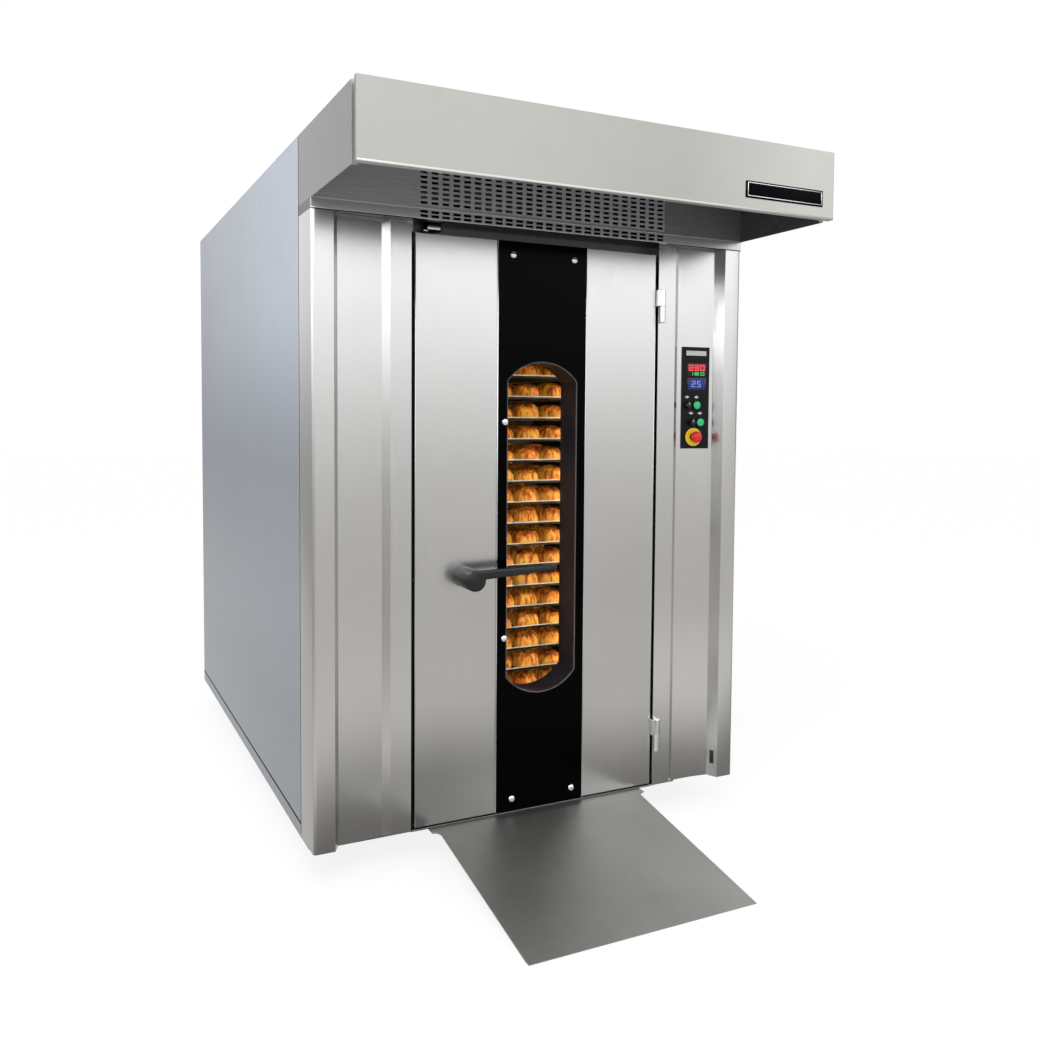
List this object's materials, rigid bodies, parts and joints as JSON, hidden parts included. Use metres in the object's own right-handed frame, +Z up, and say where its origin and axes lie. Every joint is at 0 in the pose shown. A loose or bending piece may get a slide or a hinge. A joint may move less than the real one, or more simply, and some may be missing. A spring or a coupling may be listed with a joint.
{
  "type": "rotating rack oven",
  "caption": "Insulated steel cabinet that bakes a turning trolley of trays behind a windowed hinged door, with a steam hood above it and a ramp in front.",
  "frame": {"origin": "on the floor at the centre of the footprint, under the cabinet", "axes": "+Z up, -Y towards the door, ramp and hood, +X towards the control panel"},
  "size_m": [1.734, 3.114, 2.52],
  "materials": {
    "brushed_steel": "brushed stainless steel",
    "frame_steel": "dull rolled steel",
    "grille_steel": "perforated stainless steel",
    "liner_steel": "heat-tinted stainless steel",
    "heater_steel": "oxidised heating tube",
    "bright_steel": "polished",
    "black_panel": "black enamelled glass, glossy",
    "dark_reveal": "dark satin enamel",
    "window": "clear glass",
    "gasket_rubber": "matt silicone rubber",
    "tyre_rubber": "matt heatproof rubber",
    "black_plastic": "satin black",
    "green_plastic": "lit translucent green",
    "red_plastic": "glossy red",
    "tray_aluminium": "used baking-tray aluminium",
    "motor_paint": "grey-blue enamel"
  },
  "bodies": {
    "oven": {"base_frame": "frame_steel", "chamber_floor": "brushed_steel", "left_side_panel": "brushed_steel", "right_side_panel": "brushed_steel", "rear_panel": "brushed_steel", "roof_panel": "brushed_steel", "left_front_column": "brushed_steel", "right_front_column": "brushed_steel", "door_header": "brushed_steel", "hood_shell": "brushed_steel", "hood_grille": "grille_steel", "left_liner_wall": "liner_steel", "right_liner_wall": "liner_steel", "liner_rear": "liner_steel", "liner_roof": "liner_steel", "heater_bank": "heater_steel", "fan_motor": "motor_paint", "ramp": "brushed_steel", "control_plate": "black_plastic", "turntable_gearmotor": "motor_paint"},
    "door": {"door_shell": "brushed_steel", "door_front_panel": "black_panel", "door_inner_panel": "dark_reveal", "window_glass": "window", "door_gasket": "gasket_rubber", "lower_hinge_knuckle": "bright_steel", "upper_hinge_knuckle": "bright_steel", "handle_base": "black_plastic"},
    "handle": {"handle_lever": "black_plastic"},
    "bolt": {"latch_bolt": "brushed_steel"},
    "fan": {"fan_impeller": "liner_steel"},
    "rack_on_turntable": {"turntable": "frame_steel", "rack_frame": "brushed_steel", "tray_01": "tray_aluminium", "tray_02": "tray_aluminium", "tray_03": "tray_aluminium", "tray_04": "tray_aluminium", "tray_05": "tray_aluminium", "tray_06": "tray_aluminium", "tray_07": "tray_aluminium", "tray_08": "tray_aluminium", "tray_09": "tray_aluminium", "tray_10": "tray_aluminium", "tray_11": "tray_aluminium", "tray_12": "tray_aluminium", "tray_13": "tray_aluminium", "tray_14": "tray_aluminium", "tray_15": "tray_aluminium", "tray_16": "tray_aluminium"},
    "left_fork": {"left_swivel_fork": "bright_steel"},
    "right_fork": {"right_swivel_fork": "bright_steel"},
    "wheel_left_front": {"left_front_wheel": "tyre_rubber"},
    "wheel_right_front": {"right_front_wheel": "tyre_rubber"},
    "wheel_left_rear": {"left_rear_wheel": "tyre_rubber"},
    "wheel_right_rear": {"right_rear_wheel": "tyre_rubber"},
    "selector_upper": {"upper_selector": "black_plastic"},
    "selector_lower": {"lower_selector": "black_plastic"},
    "button_upper": {"upper_button": "green_plastic"},
    "button_lower": {"lower_button": "green_plastic"},
    "estop": {"estop_button": "red_plastic"}
  },
  "joints": [
    {"name": "door_hinge", "type": "hinge", "parent": "oven", "child": "door", "pos_m": [0.515, -0.828, 1.17], "axis": [0, 0, 1], "range_deg": [0, 120]},
    {"name": "handle_turn", "type": "hinge", "parent": "door", "child": "handle", "pos_m": [-0.305, -0.877, 1.01], "axis": [0, 1, 0], "range_deg": [0, 90]},
    {"name": "bolt_throw", "type": "slide", "parent": "door", "child": "bolt", "axis": [-1, 0, 0], "range_m": [0, 0.02]},
    {"name": "fan_spin", "type": "hinge", "parent": "oven", "child": "fan", "pos_m": [0, 0.843, 1.82], "axis": [0, 1, 0], "continuous": true},
    {"name": "turntable_spin", "type": "hinge", "parent": "oven", "child": "rack_on_turntable", "pos_m": [0, -0.117, 0.121], "axis": [0, 0, 1], "continuous": true},
    {"name": "left_swivel", "type": "hinge", "parent": "rack_on_turntable", "child": "left_fork", "pos_m": [-0.272, -0.467, 0.25], "axis": [0, 0, 1], "continuous": true},
    {"name": "right_swivel", "type": "hinge", "parent": "rack_on_turntable", "child": "right_fork", "pos_m": [0.272, -0.467, 0.25], "axis": [0, 0, 1], "continuous": true},
    {"name": "left_front_roll", "type": "hinge", "parent": "left_fork", "child": "wheel_left_front", "pos_m": [-0.272, -0.437, 0.1813], "axis": [1, 0, 0], "continuous": true},
    {"name": "right_front_roll", "type": "hinge", "parent": "right_fork", "child": "wheel_right_front", "pos_m": [0.272, -0.437, 0.1813], "axis": [1, 0, 0], "continuous": true},
    {"name": "left_rear_roll", "type": "hinge", "parent": "rack_on_turntable", "child": "wheel_left_rear", "pos_m": [-0.272, 0.233, 0.1813], "axis": [1, 0, 0], "continuous": true},
    {"name": "right_rear_roll", "type": "hinge", "parent": "rack_on_turntable", "child": "wheel_right_rear", "pos_m": [0.272, 0.233, 0.1813], "axis": [1, 0, 0], "continuous": true},
    {"name": "upper_selector_turn", "type": "hinge", "parent": "oven", "child": "selector_upper", "pos_m": [0.65427, -0.80086, 1.634], "axis": [-0.1179, -0.993, 0], "range_deg": [-45, 45]},
    {"name": "lower_selector_turn", "type": "hinge", "parent": "oven", "child": "selector_lower", "pos_m": [0.67313, -0.8031, 1.566], "axis": [-0.1179, -0.993, 0], "range_deg": [-45, 45]},
    {"name": "upper_button_press", "type": "slide", "parent": "oven", "child": "button_upper", "axis": [0.1179, 0.993, 0], "range_m": [0, 0.003], "stiffness_N_per_m": 500, "springref_m": -0.002},
    {"name": "lower_button_press", "type": "slide", "parent": "oven", "child": "button_lower", "axis": [0.1179, 0.993, 0], "range_m": [0, 0.003], "stiffness_N_per_m": 500, "springref_m": -0.002},
    {"name": "estop_press", "type": "slide", "parent": "oven", "child": "estop", "axis": [0.1179, 0.993, 0], "range_m": [0, 0.006]}
  ],
  "couplings": [
    {"joint": "bolt_throw", "follows": "handle_turn", "m_per_rad": 0.01273}
  ]
}
